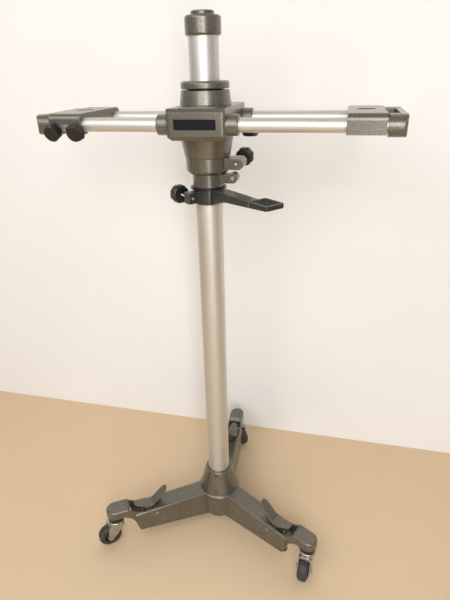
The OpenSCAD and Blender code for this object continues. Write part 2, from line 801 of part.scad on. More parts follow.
// Body of the carriage: a chamfered block with a round neck, a conical skirt and four tube bosses
module carriage_body() {
  mid_z = body_bottom_z + body_under;
  color(paint) difference() {
    union() {
      intersection() {
        translate([body_x, 0, body_bottom_z]) linear_extrude(body_up + body_down)
          round_rect(body_w, body_d, body_corner);
        translate([body_x, 0, 0]) along_y(-body_d, 2 * body_d) polygon([
          [-body_w / 2 + body_under, body_bottom_z],
          [body_w / 2 - body_under, body_bottom_z], [body_w / 2, mid_z], [body_w / 2, carriage_z + 6],
          [body_top_w / 2, body_top_z], [-body_top_w / 2, body_top_z], [-body_w / 2, carriage_z + 6],
          [-body_w / 2, mid_z]]);
        along_x(-body_w, 2 * body_w) polygon([[-body_d / 2 + body_under, body_bottom_z],
          [body_d / 2 - body_under, body_bottom_z], [body_d / 2, mid_z],
          [body_d / 2, body_top_z - body_chamfer], [body_d / 2 - body_chamfer, body_top_z],
          [-body_d / 2 + body_chamfer, body_top_z], [-body_d / 2, body_top_z - body_chamfer],
          [-body_d / 2, mid_z]]);
      }
      translate([0, 0, body_top_z - 1])
        cylinder(r1 = sleeve_r + neck_foot_wall, r2 = sleeve_r + neck_top_wall, h = neck_h + 1);
      translate([0, 0, skirt_z]) seamed_cone(sleeve_r + skirt_wall, sleeve_r + skirt_top_wall, skirt_h + 1);
      translate([body_x - 41, -body_d / 2 + body_chamfer + 1, body_top_z - 1]) cube([82, 50, 3]);
      for (s = [-1, 1]) {
        translate([body_x - boss_x, s * tube_y, carriage_z]) rotate([0, 90, 0])
          turned(boss_r, 2 * boss_x, 3, 3);
      }
    }
    translate([0, 0, skirt_z - 1]) cylinder(r = turn_bore_r, h = neck_z - skirt_z + 2);
    for (s = [-1, 1]) {
      translate([body_x, s * tube_y, carriage_z]) bar_x(-boss_x - 1, 2 * boss_x + 2, tube_r + run_gap);
    }
    translate([body_x + boss_x - 7, tube_y, body_bottom_z - 20])
      cylinder(r = screw_d / 2 + run_gap, h = body_down + 20);
  }
}

module name_plate() {
  color(black_plastic) translate([body_x - 1.5, -body_d / 2, carriage_z + 2.75]) rotate([90, 0, 0])
    linear_extrude(plate_t) round_rect(plate_w, plate_h, 1);
}

// Split ring that squeezes the guide sleeve's foot, with a square-cut lug for its screw
module clamp_ring() {
  low = clamp_screw_z - clamp_lug_h / 2;
  high = clamp_screw_z + clamp_lug_h / 2;
  end = clamp_screw_x + 18;
  color(paint) difference() {
    union() {
      rotate_extrude() polygon([[0, clamp_z], [clamp_r - 6.5, clamp_z], [clamp_r - 0.8, clamp_z + 7],
        [clamp_r, skirt_z - seam], [clamp_r - seam, skirt_z], [0, skirt_z]]);
      along_y(-clamp_lug_w / 2, clamp_lug_w) polygon([[sleeve_r, low], [end - 8, low], [end, low + 7],
        [end, high - 7], [end - 8, high], [sleeve_r, high]]);
    }
    translate([0, 0, clamp_z - 1]) cylinder(r = clamp_bore_r, h = clamp_h + 2);
    translate([0, -11, clamp_z - 1]) cube([2 * end, slit, clamp_h + 2]);
    translate([clamp_screw_x, 0, clamp_screw_z]) bar_y(-clamp_lug_w, 2 * clamp_lug_w, screw_d / 2 + run_gap);
  }
}

// Round knob with a scalloped rim on the Z axis, bored for its screw from below
module scalloped_knob() {
  e = knob_h * 0.28;
  difference() {
    turned(knob_d / 2, knob_h, e, e);
    for (a = [0:45:315]) {
      rotate([0, 0, a]) translate([knob_d / 2 + 4.5, 0, -1]) cylinder(r = 7, h = knob_h + 2);
    }
    translate([0, 0, -1]) cylinder(r = screw_d / 2 + seat_gap, h = 15);
  }
}

module clamp_screw() {
  start = -clamp_lug_w / 2 - 4;
  color(plated) translate([clamp_screw_x, 0, clamp_screw_z])
    bar_y(start, clamp_lug_w / 2 + clamp_reach - start + 13, screw_d / 2);
}

module clamp_knob() {
  color(black_plastic) translate([clamp_screw_x, clamp_lug_w / 2 + clamp_reach, clamp_screw_z])
    rotate([-90, 0, 0]) scalloped_knob();
}

module stop_collar() {
  low = stop_screw_z - stop_lug_r;
  front = 9 - stop_lug_w;
  color(paint) difference() {
    union() {
      translate([0, 0, stop_z]) turned(stop_r, stop_h, seam, seam);
      along_y(front, stop_lug_w) {
        translate([column_r, low]) square([stop_screw_x - column_r, stop_z + stop_h - 1 - low]);
        translate([stop_screw_x, stop_screw_z]) circle(stop_lug_r);
      }
    }
    translate([0, 0, stop_z - 1]) cylinder(r = column_bore_r, h = stop_h + 2);
    translate([0, -slit / 2, stop_z - 1]) cube([3 * stop_screw_x, slit, stop_h + 20]);
    translate([stop_screw_x, 0, stop_screw_z]) bar_y(-stop_lug_w, 2 * stop_lug_w, 3 + seat_gap);
    translate([stop_screw_x, 0, stop_screw_z]) bar_y(front - 1, 7, 6);
  }
}

module stop_collar_screw() {
  y = 9 - stop_lug_w;
  color(plated) translate([stop_screw_x, 0, stop_screw_z]) difference() {
    union() {
      bar_y(y + 1, 5, 5.5);
      bar_y(y + 1, stop_lug_w - 3, 3);
    }
    translate([0, y, 0]) rotate([-90, 0, 0]) cylinder(d = 5.8, h = 4, $fn = 6);
  }
}

module accessory_liner() {
  color(black_plastic) difference() {
    union() {
      translate([0, 0, flange_z]) cylinder(r = column_r + liner_lip, h = liner_flange);
      translate([0, 0, acc_z - 2]) cylinder(r = liner_r, h = flange_z - acc_z + 3);
    }
    translate([0, 0, acc_z - 3]) cylinder(r = column_bore_r, h = arm_collar_h + liner_flange + 6);
  }
}

// Swing-out arm: a split collar, a tapering blade with a deep fillet below, and a flat pad
module accessory_arm() {
  pad_u = arm_reach - pad_l;
  root = arm_collar_r - 8;
  under = acc_top_z - 21;
  color(dark_paint) difference() {
    union() {
      translate([0, 0, acc_z]) cylinder(r = arm_collar_r, h = arm_collar_h);
      rotate([0, 0, ear_turn]) translate([arm_collar_r - 6, -12, acc_screw_z - 14])
        cube([ear_u - arm_collar_r + 17, 24, 28]);
      rotate([0, 0, arm_turn]) intersection() {
        translate([0, 0, acc_z]) linear_extrude(arm_collar_h + blade_up) {
          polygon([[root, -arm_root_w / 2], [pad_u, -20], [pad_u + 2, -20], [pad_u + 2, 12],
            [root, arm_root_w / 2]]);
          translate([pad_u + pad_l / 2, pad_w / 2 - 20]) round_rect(pad_l, pad_w, 5);
        }
        across(4 * pad_w) polygon([[root, acc_z], [arm_collar_r + 2, acc_z], [arm_collar_r + 20, under - 6],
          [arm_collar_r + 53, under + blade_up], [arm_reach, blade_z - pad_t + 1.5], [arm_reach, blade_z],
          [column_r + liner_lip + 4, blade_z], [column_r + liner_lip + 2, acc_top_z], [root, acc_top_z]]);
      }
    }
    translate([0, 0, acc_z - 1]) cylinder(r = arm_bore_r, h = arm_collar_h + 2);
    rotate([0, 0, ear_turn]) translate([0, -slit / 2, acc_z - 1]) cube([2 * ear_u, slit, arm_collar_h + 2]);
    rotate([0, 0, ear_turn]) translate([ear_u, 0, acc_screw_z]) bar_y(-60, 120, screw_d / 2 + run_gap);
    rotate([0, 0, arm_turn]) translate([pad_u + pad_l / 2, pad_w / 2 - 20, blade_z - 3])
      linear_extrude(4) round_rect(pad_l - 8, pad_w - 8, 3);
  }
}

module accessory_pad() {
  color(black_rubber) rotate([0, 0, arm_turn])
    translate([arm_reach - pad_l / 2, pad_w / 2 - 20, blade_z - 3]) difference() {
    linear_extrude(3) round_rect(pad_l - 8 - 2 * seat_gap, pad_w - 8 - 2 * seat_gap, 3);
    translate([0, 0, 1.6]) cylinder(d = 30, h = 3);
  }
}

module accessory_screw() {
  color(plated) rotate([0, 0, ear_turn]) translate([ear_u, 0, acc_screw_z])
    bar_y(-12 - ear_reach - 13, 12 + ear_reach + 13 + 15, screw_d / 2);
}

module accessory_knob() {
  color(black_plastic) rotate([0, 0, ear_turn]) translate([ear_u, -12 - ear_reach, acc_screw_z])
    rotate([90, 0, 0]) scalloped_knob();
}

module cross_tube(s) {
  start = left_yoke_x + 7;
  color(bare_metal) translate([start, s * tube_y, carriage_z]) rotate([0, 90, 0])
    pipe(tube_r, tube_r - tube_wall, right_x - 7 - start);
}

module front_tube() {
  cross_tube(-1);
}

module rear_tube() {
  cross_tube(1);
}

// End yoke with its closed outer side toward -X, standing from x = 0 to x = yoke_w
module end_yoke() {
  side = tube_y + yoke_r;
  difference() {
    intersection() {
      along_x(0, yoke_w) {
        translate([-tube_y, carriage_z - platform_down]) square([2 * tube_y, platform_down + yoke_r - 1]);
        for (s = [-1, 1]) {
          translate([s * tube_y, carriage_z]) circle(yoke_r);
        }
      }
      translate([0, 0, carriage_z - 2 * yoke_r]) linear_extrude(4 * yoke_r)
        polygon([[0, -side + 9], [7, -side], [yoke_w, -side], [yoke_w, side], [7, side], [0, side - 9]]);
    }
    translate([yoke_web, -tube_y + yoke_r, carriage_z - 2 * yoke_r])
      cube([yoke_w, 2 * (tube_y - yoke_r), 4 * yoke_r]);
    for (s = [-1, 1]) {
      translate([0, s * tube_y, carriage_z]) bar_x(6.8, yoke_w, tube_r + seat_gap);
    }
  }
}

module left_end_yoke() {
  color(paint) translate([left_yoke_x, 0, 0]) end_yoke();
}

module right_end_yoke() {
  color(paint) translate([right_yoke_x + yoke_w, 0, 0]) rotate([0, 0, 180]) end_yoke();
}

// Camera platform about its own middle: a shell open below, a closed sleeve at the rear and a
// half sleeve at the front, where straps hold it to the tube
module platform() {
  d = tube_spacing + 2 * platform_front;
  low = carriage_z - platform_down;
  h = platform_up + platform_down;
  in_w = platform_w - 2 * platform_wall;
  difference() {
    union() {
      difference() {
        along_x(-platform_w / 2, platform_w) translate([0, low]) top_round(d, h, platform_edge);
        along_x(-in_w / 2, in_w) translate([0, low - 1])
          top_round(d - 2 * platform_wall, h + 1 - platform_wall, platform_edge - platform_wall);
      }
      for (s = [-1, 1]) {
        translate([0, s * tube_y, carriage_z]) bar_x(-platform_w / 2 + 1, platform_w - 2, strap_r - 2);
      }
      translate([0, 0, platform_z - 14]) cylinder(d = camera_hole_d + 16, h = 10);
    }
    for (s = [-1, 1]) {
      translate([0, s * tube_y, carriage_z]) bar_x(-platform_w, 2 * platform_w, tube_r + run_gap);
    }
    translate([-platform_w, -d, low - 10])
      cube([2 * platform_w, d - tube_y + strap_r + 3, apron_z - low + 10]);
    translate([-in_w / 2, -tube_y - strap_r, low - 10]) cube([in_w, strap_r, apron_z - low + 10]);
    translate([0, 0, platform_z - camera_recess]) cylinder(d = camera_recess_d, h = 5);
    translate([0, 0, low]) cylinder(d = camera_hole_d, h = h + 1);
  }
}

// Puts its child on a platform: k = 0 left with the straps at the front, k = 1 right with them at the rear
module on_platform(k) {
  x = k == 0 ? left_platform_x : right_platform_x;
  translate([x + platform_w / 2, 0, 0]) rotate([0, 0, 180 * k]) children();
}

module left_platform() {
  color(paint) on_platform(0) platform();
}

module right_platform() {
  color(paint) on_platform(1) platform();
}

// Half ring under the front tube, with a slanted boss for a lock knob's screw
module tube_strap() {
  difference() {
    along_x(-strap_w / 2, strap_w) translate([-tube_y, carriage_z]) difference() {
      intersection() {
        union() {
          circle(strap_r);
          rotate(wing_tilt) translate([-wing_seat, -10]) square([wing_seat, 20]);
        }
        translate([-60, -60]) square([120, 60 + apron_z - carriage_z - seat_gap]);
      }
      circle(tube_r + run_gap);
    }
    translate([0, -tube_y, carriage_z]) rotate([90 + wing_tilt, 0, 0])
      cylinder(r = screw_d / 2 + run_gap, h = 60);
  }
}

module tube_straps(k) {
  color(paint) on_platform(k) {
    for (s = [-1, 1]) {
      translate([s * (platform_w / 2 - wing_off), 0, 0]) tube_strap();
    }
  }
}

module left_tube_straps() {
  tube_straps(0);
}

module right_tube_straps() {
  tube_straps(1);
}

// Square knob with its screw on the Z axis: the screw's tip at z = tip, the knob's seat at z = seat
module lock_knob(tip, seat, turn) {
  translate([0, 0, tip]) cylinder(d = screw_d, h = seat - tip + 1);
  rotate([0, 0, turn]) translate([0, 0, seat]) intersection() {
    linear_extrude(wing_h) round_rect(wing_s, wing_s, 4);
    cylinder(r1 = wing_s * 0.56, r2 = wing_s * 0.74, h = wing_h * 0.45 + 10);
    translate([0, 0, -20]) cylinder(r1 = wing_s * 1.2, r2 = wing_s * 0.5, h = wing_h + 20);
  }
}

// Lock knob on a platform's strap: k picks the platform, s the outer (-1) or inner (1) strap
module platform_lock(k, s, turn) {
  color(black_plastic) on_platform(k) translate([s * (platform_w / 2 - wing_off), -tube_y, carriage_z])
    rotate([90 + wing_tilt, 0, 0]) lock_knob(tube_r + face_gap, wing_seat + face_gap, turn);
}

module cross_arm_knob() {
  color(black_plastic) translate([body_x + boss_x - 7, tube_y, carriage_z]) rotate([180, 0, 0])
    lock_knob(tube_r + face_gap, boss_r + 2.5, wing_turns[4]);
}

base_casting();
hub_set_screws();
arm_plugs();
caster_collars();
caster_fork(0);  // caster_fork_left
caster_fork(1);  // caster_fork_right
caster_fork(2);  // caster_fork_rear
caster_axle(0);  // caster_axle_left
caster_axle(1);  // caster_axle_right
caster_axle(2);  // caster_axle_rear
caster_tyre(0);  // caster_tyre_left
caster_tyre(1);  // caster_tyre_right
caster_tyre(2);  // caster_tyre_rear
caster_hub(0);  // caster_hub_left
caster_hub(1);  // caster_hub_right
caster_hub(2);  // caster_hub_rear
brake_pedal(0);  // brake_pedal_left
brake_pedal(1);  // brake_pedal_right
brake_pedal(2);  // brake_pedal_rear
pedal_pins();
brake_plunger(0);  // brake_plunger_left
brake_plunger(1);  // brake_plunger_right
brake_plunger(2);  // brake_plunger_rear
brake_foot(0);  // brake_foot_left
brake_foot(1);  // brake_foot_right
brake_foot(2);  // brake_foot_rear
brake_spring(0);  // brake_spring_left
brake_spring(1);  // brake_spring_right
brake_spring(2);  // brake_spring_rear
column_tube();
column_cap();
guide_sleeve();
upper_bush();
lower_bush();
top_ring();
carriage_body();
name_plate();
clamp_ring();
clamp_screw();
clamp_knob();
stop_collar();
stop_collar_screw();
accessory_liner();
accessory_arm();
accessory_pad();
accessory_screw();
accessory_knob();
front_tube();
rear_tube();
left_end_yoke();
right_end_yoke();
left_platform();
right_platform();
left_tube_straps();
right_tube_straps();
platform_lock(0, -1, wing_turns[0]);  // left_lock_knob_outer
platform_lock(0, 1, wing_turns[1]);  // left_lock_knob_inner
platform_lock(1, -1, wing_turns[2]);  // right_lock_knob_outer
platform_lock(1, 1, wing_turns[3]);  // right_lock_knob_inner
cross_arm_knob();
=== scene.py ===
"""Looks of a rolling studio camera stand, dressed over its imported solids.

The castings get a hammer-finish enamel, the tubes a satin anodised skin, and the small hardware
plated steel, moulded plastic and rubber. The wound springs and the cut screw threads are made here.
"""
import json
import math

import bpy
import numpy as np
from mathutils import Matrix, Vector


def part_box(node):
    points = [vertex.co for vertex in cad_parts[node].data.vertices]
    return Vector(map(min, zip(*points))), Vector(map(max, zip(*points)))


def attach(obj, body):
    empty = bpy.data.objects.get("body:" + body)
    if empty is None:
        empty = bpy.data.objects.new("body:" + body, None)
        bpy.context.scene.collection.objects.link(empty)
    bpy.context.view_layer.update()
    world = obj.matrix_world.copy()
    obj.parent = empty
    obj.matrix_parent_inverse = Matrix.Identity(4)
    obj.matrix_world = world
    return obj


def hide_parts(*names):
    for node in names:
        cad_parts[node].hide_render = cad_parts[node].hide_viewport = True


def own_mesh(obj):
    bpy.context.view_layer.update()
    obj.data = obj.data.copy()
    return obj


bl_info = {
    "name": "Studio camera stand looks",
    "version": (1, 0, 0),
    "blender": (4, 5, 0),
    "location": "View3D > Sidebar > Camera stand",
    "description": "Finishes, wound springs, cut threads and stage of a rolling studio camera stand",
    "category": "Object",
}

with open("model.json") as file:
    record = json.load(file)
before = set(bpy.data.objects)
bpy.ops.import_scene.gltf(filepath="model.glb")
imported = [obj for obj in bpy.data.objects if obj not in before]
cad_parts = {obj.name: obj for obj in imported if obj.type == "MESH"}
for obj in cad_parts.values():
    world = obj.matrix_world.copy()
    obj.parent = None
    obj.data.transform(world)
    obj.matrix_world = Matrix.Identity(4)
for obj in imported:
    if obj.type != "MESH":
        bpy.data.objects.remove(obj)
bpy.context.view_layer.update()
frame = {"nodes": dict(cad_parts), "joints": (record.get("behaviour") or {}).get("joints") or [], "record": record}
NODES = frame["nodes"]
JOINTS = {joint["name"]: joint for joint in frame["joints"]}
SIDES = ("left", "right", "rear")
MM = 0.001

# Steps of the made surfaces
THREAD_SIDES = 24
THREAD_ROWS_PER_PITCH = 6
THREAD_END = 0.6
COIL_STEPS = 40
WIRE_SIDES = 12

# Radius of the two clamp screws, in metres
CLAMP_SCREW_R = 4 * MM

# Stage, in metres: half width of the floor and the wall, place of the wall and its height
STAGE_HALF = 8.0
WALL_Y = 0.46
WALL_HIGH = 5.0

# Strength of the room's light on the stand, and as the camera and gloss see it
ROOM_LEVEL = 0.2
ROOM_SEEN_LEVEL = 0.45

# Camera: its place in metres, its turns in degrees, and its focal length in pixels of a 600 pixel frame
CAMERA_AT = (0.32857, -1.19665, 1.45017)
CAMERA_TURNS = (13.742, 26.018, 1.387)
FOCAL_PX = 478.14
FRAME_PX = 600
SENSOR_MM = 36


def linear(hex_colour):
    """Linear RGBA of an sRGB hex colour.

    Each channel c becomes ((c + 0.055) / 1.055) ** 2.4, and c / 12.92 near black.
    """
    channels = [int(hex_colour[i:i + 2], 16) / 255 for i in (1, 3, 5)]
    return tuple(c / 12.92 if c <= 0.04045 else ((c + 0.055) / 1.055) ** 2.4
                 for c in channels) + (1.0,)


def colour_prop(name, hex_colour, description):
    """Colour picker with an sRGB hex default."""
    return bpy.props.FloatVectorProperty(
        name=name, description=description, subtype="COLOR", size=4, min=0, max=1,
        default=linear(hex_colour))


def size_prop(name, default_mm, description):
    """Length picker with its default in millimetres."""
    return bpy.props.FloatProperty(
        name=name, description=description, default=default_mm * MM, min=0, unit="LENGTH")


def watts_prop(name, default, description):
    """Lamp power picker."""
    return bpy.props.FloatProperty(
        name=name, description=description, default=default, min=0, unit="POWER")


class StandFinish(bpy.types.PropertyGroup):
    """Colours and grain sizes of the stand's finishes."""

    enamel: colour_prop("Enamel", "#7B766A", "Hammer-finish enamel on the castings")
    enamel_deep: colour_prop("Enamel, deep", "#645F53", "Enamel between the hammered grains")
    dark_enamel: colour_prop("Dark enamel", "#4A4A44", "Enamel on the accessory arm")
    # Bare casting is real wear, and along the edges it also stands in for the bright highlights that the rounded
    # edges catch.
    bare: colour_prop("Bare metal", "#B9B4A6", "Casting where its enamel has worn off")
    anodised: colour_prop("Anodised tube", "#D4D1CB", "Satin skin of the tubes")
    plating: colour_prop("Plating", "#BDBDB9", "Zinc and nickel plated steel")
    # Dark oiled steel; on the guide sleeve it also paints the shade in the thin gap between the top ring and the
    # carriage.
    oiled_and_gap_shade: colour_prop("Oiled steel", "#2A2825", "Guide sleeve inside the carriage")
    plastic: colour_prop("Moulded plastic", "#16171A", "Knobs, collars and wheel centres")
    tyre: colour_prop("Tyre", "#353432", "Tread of the wheels")
    rubber: colour_prop("Rubber", "#232322", "Brake feet and pad")
    plate: colour_prop("Plate", "#141416", "Bare plate on the carriage")
    grain: size_prop("Hammer grain", 3.2, "Width of one hammered grain of the enamel")


class StandHardware(bpy.types.PropertyGroup):
    """Sizes of the wound springs and the cut threads."""

    thread_pitch: size_prop("Thread pitch", 1.25, "Advance of one turn of the clamp screws' thread")
    thread_depth: size_prop("Thread depth", 0.7, "Depth of the clamp screws' thread")
    wire: size_prop("Spring wire", 1.8, "Thickness of a return spring's wire")
    coils: bpy.props.IntProperty(
        name="Spring coils", description="Turns of a return spring", default=6, min=3)


class StandStage(bpy.types.PropertyGroup):
    """Floor, wall and light around the stand."""

    floor: colour_prop("Floor", "#E5CAA7", "Plain pale floor")
    wall: colour_prop("Wall", "#FBFAF8", "Plain pale wall")
    key: watts_prop("Key light", 64, "Power of the large soft lamp")
    strip: watts_prop("Strip light", 22, "Power of the tall lamp that draws the long highlights")
    fill: watts_prop("Fill light", 28, "Power of the lamp that fills the shade")
    back: watts_prop("Back light", 66, "Power of the lamp over the floor behind the wall")


# ---------------------------------------------------------------------------------------------
# Materials


def add(tree, kind, settings=None, inputs=None):
    """Adds one shader node: settings are its properties, inputs its socket values or what feeds them."""
    made = tree.nodes.new("ShaderNode" + kind)
    for key, value in (settings or {}).items():
        setattr(made, key, value)
    for key, value in (inputs or {}).items():
        if isinstance(value, bpy.types.NodeSocket):
            tree.links.new(value, made.inputs[key])
        else:
            made.inputs[key].default_value = value
    return made


def start(name):
    """New material: its tree, its shader and the piece's own coordinates."""
    made = bpy.data.materials.new(name)
    made.use_nodes = True
    tree = made.node_tree
    shader = tree.nodes["Principled BSDF"]
    coords = add(tree, "TexCoord").outputs["Object"]
    return made, tree, shader, coords


def hammer_enamel(name, light, deep, bare, grain, rubbed=0.6):
    """Hammer-finish enamel on cast metal, sprayed so that it draws up into small round grains.

    To the eye it is a mottled satin skin: lighter on the grains, darker between them, with a dull
    metal flake, painted shade that darkens the seams and corners, chips low on the base, and bare
    casting along the edges, as far as they are rubbed, which is real wear that also paints the bright
    highlights of the edges.
    """
    made, tree, shader, coords = start(name)
    drift = add(tree, "TexNoise", None, {"Vector": coords, "Scale": 1 / (4 * grain), "Detail": 2.0})
    bent = add(tree, "VectorMath", {"operation": "MULTIPLY_ADD"},
               {0: drift.outputs["Color"], 1: (grain, grain, grain), 2: coords})
    cells = add(tree, "TexVoronoi", {"feature": "SMOOTH_F1"},
                {"Vector": bent.outputs[0], "Scale": 1 / grain, "Smoothness": 0.55})
    tone = add(tree, "MapRange", None,
               {"Value": cells.outputs["Distance"], "From Min": 0.1, "From Max": 0.8})
    skin = add(tree, "Mix", {"data_type": "RGBA"}, {0: tone.outputs[0], 6: light, 7: deep})
    cloud = add(tree, "TexNoise", None, {"Vector": coords, "Scale": 1 / (45 * MM), "Detail": 3.0})
    # A slow random cloudy tone of the enamel itself, not light or shade.
    shade = add(tree, "MapRange", None, {"Value": cloud.outputs[0], "From Min": 0.3, "From Max": 0.7,
                                         "To Min": 0.9, "To Max": 1.07})
    # Painted shade: an ambient occlusion mask darkens the enamel in the seams, creases and corners, where shade
    # falls.
    crevice_occlusion = add(tree, "AmbientOcclusion", {"samples": 8}, {"Distance": 5 * MM})
    crevice_shade = add(tree, "MapRange", None, {"Value": crevice_occlusion.outputs["AO"], "From Min": 0.52, "From Max": 0.9,
                                         "To Min": 0.12, "To Max": 1.0})
    mottle_and_crevice_shade = add(tree, "Math", {"operation": "MULTIPLY"}, {0: shade.outputs[0], 1: crevice_shade.outputs[0]})
    mottled_shaded_skin = add(tree, "Mix", {"data_type": "RGBA", "blend_type": "MULTIPLY"},
               {0: 1.0, 6: skin.outputs[2], 7: mottle_and_crevice_shade.outputs[0]})
    # Bare casting along the edges: real wear that also paints the bright highlights of the rounded edges.
    rounded = add(tree, "Bevel", {"samples": 6}, {"Radius": 1.6 * MM})
    true = add(tree, "NewGeometry")
    turn = add(tree, "VectorMath", {"operation": "DOT_PRODUCT"},
               {0: rounded.outputs[0], 1: true.outputs["Normal"]})
    rub = add(tree, "TexNoise", None, {"Vector": coords, "Scale": 1 / (9 * MM), "Detail": 4.0})
    worn = add(tree, "Math", {"operation": "MULTIPLY_ADD"}, {0: turn.outputs["Value"], 1: -5.0, 2: 4.62})
    patchy = add(tree, "Math", {"operation": "MULTIPLY_ADD", "use_clamp": True},
                 {0: rub.outputs[0], 1: 1.5, 2: worn.outputs[0]})
    edge = add(tree, "MapRange", None, {"Value": patchy.outputs[0], "From Min": 0.75, "From Max": 1.0,
                                        "To Max": rubbed})
    height = add(tree, "SeparateXYZ", None, {0: coords}).outputs["Z"]
    low = add(tree, "MapRange", None, {"Value": height, "From Min": 120 * MM, "From Max": 50 * MM})
    knocks = add(tree, "TexNoise", None, {"Vector": coords, "Scale": 1 / (22 * MM), "Detail": 6.0,
                                          "Roughness": 0.62})
    kicked = add(tree, "MapRange", None, {"Value": knocks.outputs[0], "From Min": 0.655,
                                          "From Max": 0.69, "To Max": 0.8})
    chips = add(tree, "Math", {"operation": "MULTIPLY"}, {0: low.outputs[0], 1: kicked.outputs[0]})
    # Share of bare casting: worn chips low on the base, and the worn edges that also paint the edge highlights.
    bare_wear_and_highlight = add(tree, "Math", {"operation": "MAXIMUM"}, {0: edge.outputs[0], 1: chips.outputs[0]})
    painted = add(tree, "Mix", {"data_type": "RGBA"}, {0: bare_wear_and_highlight.outputs[0], 6: mottled_shaded_skin.outputs[2], 7: bare})
    gloss = add(tree, "MapRange", None, {"Value": cloud.outputs[0], "To Min": 0.27, "To Max": 0.37})
    dimple = add(tree, "Bump", {"invert": True},
                 {"Strength": 0.4, "Distance": 0.4 * MM, "Height": cells.outputs["Distance"],
                  "Normal": rounded.outputs[0]})
    for key, socket in (("Base Color", painted.outputs[2]), ("Roughness", gloss.outputs[0]),
                        ("Normal", dimple.outputs[0]), ("Coat Normal", dimple.outputs[0])):
        tree.links.new(socket, shader.inputs[key])
    for key, value in (("Metallic", 0.6), ("Coat Weight", 0.4), ("Coat Roughness", 0.18)):
        shader.inputs[key].default_value = value
    return made


def anodised_tube(name, colour, lines):
    """Drawn aluminium tube, etched and anodised to a satin skin.

    Lines is the stretch of the drawing marks: fine across the tube, long along it. To the eye it is
    a pale, even metal with soft long highlights, faint drawing lines and a few dull rubs.
    """
    made, tree, shader, coords = start(name)
    along = add(tree, "Mapping", None, {"Vector": coords, "Scale": lines})
    drawn = add(tree, "TexNoise", None, {"Vector": along.outputs[0], "Scale": 1.0, "Detail": 2.0})
    rubs = add(tree, "TexNoise", None, {"Vector": coords, "Scale": 1 / (70 * MM), "Detail": 5.0})
    tone = add(tree, "MapRange", None, {"Value": drawn.outputs[0], "To Min": 0.93, "To Max": 1.04})
    skin = add(tree, "Mix", {"data_type": "RGBA", "blend_type": "MULTIPLY"},
               {0: 1.0, 6: colour, 7: tone.outputs[0]})
    matt = add(tree, "MapRange", None, {"Value": rubs.outputs[0], "From Min": 0.3, "From Max": 0.7,
                                        "To Min": 0.42, "To Max": 0.52})
    bump = add(tree, "Bump", None, {"Strength": 0.06, "Distance": 0.05 * MM, "Height": drawn.outputs[0]})
    for key, socket in (("Base Color", skin.outputs[2]), ("Roughness", matt.outputs[0]),
                        ("Normal", bump.outputs[0])):
        tree.links.new(socket, shader.inputs[key])
    shader.inputs["Metallic"].default_value = 0.82
    return made


def plated_steel(name, colour):
    """Pressed or turned steel with a zinc or nickel plating.

    To the eye it is a bright grey metal with slightly cloudy patches and softened edges.
    """
    made, tree, shader, coords = start(name)
    cloud = add(tree, "TexNoise", None, {"Vector": coords, "Scale": 1 / (7 * MM), "Detail": 4.0})
    tone = add(tree, "MapRange", None, {"Value": cloud.outputs[0], "To Min": 0.78, "To Max": 1.1})
    skin = add(tree, "Mix", {"data_type": "RGBA", "blend_type": "MULTIPLY"},
               {0: 1.0, 6: colour, 7: tone.outputs[0]})
    gloss = add(tree, "MapRange", None, {"Value": cloud.outputs[0], "To Min": 0.18, "To Max": 0.38})
    rounded = add(tree, "Bevel", {"samples": 4}, {"Radius": 0.6 * MM})
    for key, socket in (("Base Color", skin.outputs[2]), ("Roughness", gloss.outputs[0]),
                        ("Normal", rounded.outputs[0])):
        tree.links.new(socket, shader.inputs[key])
    shader.inputs["Metallic"].default_value = 1.0
    return made


def moulded(name, colour, rough, grain_mm, wear, shine=0.5):
    """Moulded plastic or rubber, or a dull black plate: a fine grain and paler rubbed edges.

    The grain is drawn coarser than the real 0.1 mm mould texture so that it shows in the render.
    """
    made, tree, shader, coords = start(name)
    grain = add(tree, "TexNoise", None, {"Vector": coords, "Scale": 1 / (grain_mm * MM), "Detail": 3.0})
    dust = add(tree, "TexNoise", None, {"Vector": coords, "Scale": 1 / (14 * MM), "Detail": 4.0})
    pale = tuple(min(1.0, c * 2.6 + 0.012) for c in colour[:3]) + (1.0,)
    rounded = add(tree, "Bevel", {"samples": 4}, {"Radius": 1.0 * MM})
    true = add(tree, "NewGeometry")
    turn = add(tree, "VectorMath", {"operation": "DOT_PRODUCT"},
               {0: rounded.outputs[0], 1: true.outputs["Normal"]})
    worn = add(tree, "MapRange", None, {"Value": turn.outputs["Value"], "From Min": 0.98, "From Max": 0.8,
                                        "To Max": wear})
    dusty = add(tree, "MapRange", None, {"Value": dust.outputs[0], "From Min": 0.45, "From Max": 0.8,
                                         "To Max": wear * 0.6})
    both = add(tree, "Math", {"operation": "MAXIMUM"}, {0: worn.outputs[0], 1: dusty.outputs[0]})
    skin = add(tree, "Mix", {"data_type": "RGBA"}, {0: both.outputs[0], 6: colour, 7: pale})
    gloss = add(tree, "MapRange", None, {"Value": grain.outputs[0],
                                         "To Min": rough - 0.07, "To Max": rough + 0.07})
    bump = add(tree, "Bump", None, {"Strength": 0.12, "Distance": 0.1 * MM, "Height": grain.outputs[0],
                                    "Normal": rounded.outputs[0]})
    for key, socket in (("Base Color", skin.outputs[2]), ("Roughness", gloss.outputs[0]),
                        ("Normal", bump.outputs[0])):
        tree.links.new(socket, shader.inputs[key])
    shader.inputs["Specular IOR Level"].default_value = shine
    return made


